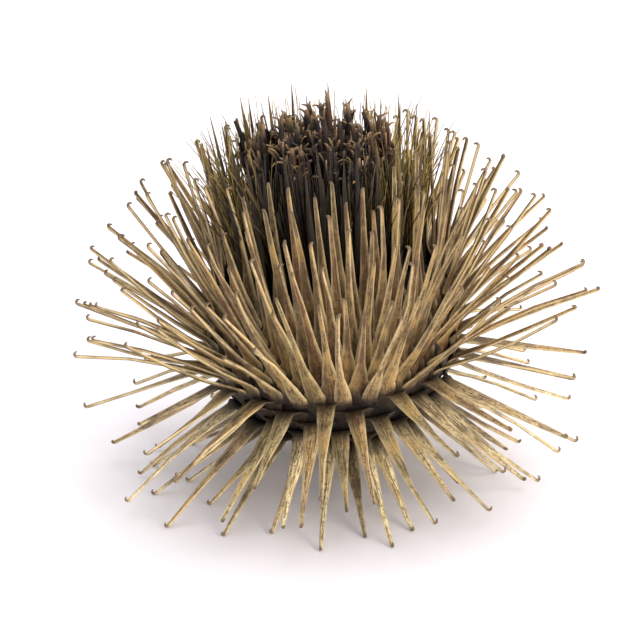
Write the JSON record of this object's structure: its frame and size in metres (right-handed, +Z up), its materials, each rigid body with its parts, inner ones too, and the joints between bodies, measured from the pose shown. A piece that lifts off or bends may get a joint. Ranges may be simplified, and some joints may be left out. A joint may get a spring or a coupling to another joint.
{
  "type": "burdock burr",
  "caption": "Dry burdock seed head: a round cup of overlapping straw-brown bracts ending in hooks, with a tuft of dark withered florets on top, standing on its lower bracts.",
  "frame": {"origin": "on the surface it stands on, under the middle of the head's outline", "axes": "+Z up, through the tuft of florets; +X to the right and +Y to the back, seen with the head leaning a little to the left"},
  "size_m": [0.0436, 0.0436, 0.0328],
  "materials": {
    "hooked_bract": "dry, fibrous straw-brown bract with a satin surface, lighter along its edges and dark at the hook",
    "inner_bract": "dry, papery golden-olive bract with a slight sheen",
    "stalk": "dry, ridged brown stalk, matte",
    "floret": "withered dark brown floret tube, wrinkled and matte, with tan lobes"
  },
  "bodies": {
    "root": {"hooked_bracts_row_01": "hooked_bract", "hooked_bracts_row_02": "hooked_bract", "hooked_bracts_row_03": "hooked_bract", "hooked_bracts_row_04": "hooked_bract", "hooked_bracts_row_05": "hooked_bract", "hooked_bracts_row_06": "hooked_bract", "hooked_bracts_row_07": "hooked_bract", "hooked_bracts_row_08": "hooked_bract", "hooked_bracts_row_09": "hooked_bract", "hooked_bracts_row_10": "hooked_bract", "hooked_bracts_row_11": "hooked_bract", "hooked_bracts_row_12": "hooked_bract", "hooked_bracts_row_13": "hooked_bract", "hooked_bracts_row_14": "hooked_bract", "hooked_bracts_row_15": "hooked_bract", "hooked_bracts_row_16": "hooked_bract", "hooked_bracts_row_17": "hooked_bract", "hooked_bracts_row_18": "hooked_bract", "hooked_bracts_row_19": "hooked_bract", "inner_bracts_row_1": "inner_bract", "inner_bracts_row_2": "inner_bract", "stalk_and_receptacle": "stalk", "floret_01": "floret", "floret_02": "floret", "floret_03": "floret", "floret_04": "floret", "floret_05": "floret", "floret_06": "floret", "floret_07": "floret", "floret_08": "floret", "floret_09": "floret", "floret_10": "floret", "floret_11": "floret", "floret_12": "floret", "floret_13": "floret", "floret_14": "floret", "floret_15": "floret", "floret_16": "floret", "floret_17": "floret", "floret_18": "floret", "floret_19": "floret", "floret_20": "floret", "floret_21": "floret", "floret_22": "floret", "floret_23": "floret", "floret_24": "floret", "floret_25": "floret", "floret_26": "floret", "floret_27": "floret", "floret_28": "floret", "floret_29": "floret", "floret_30": "floret", "floret_31": "floret", "floret_32": "floret", "floret_33": "floret", "floret_34": "floret", "floret_35": "floret", "floret_36": "floret"}
  },
  "joints": []
}
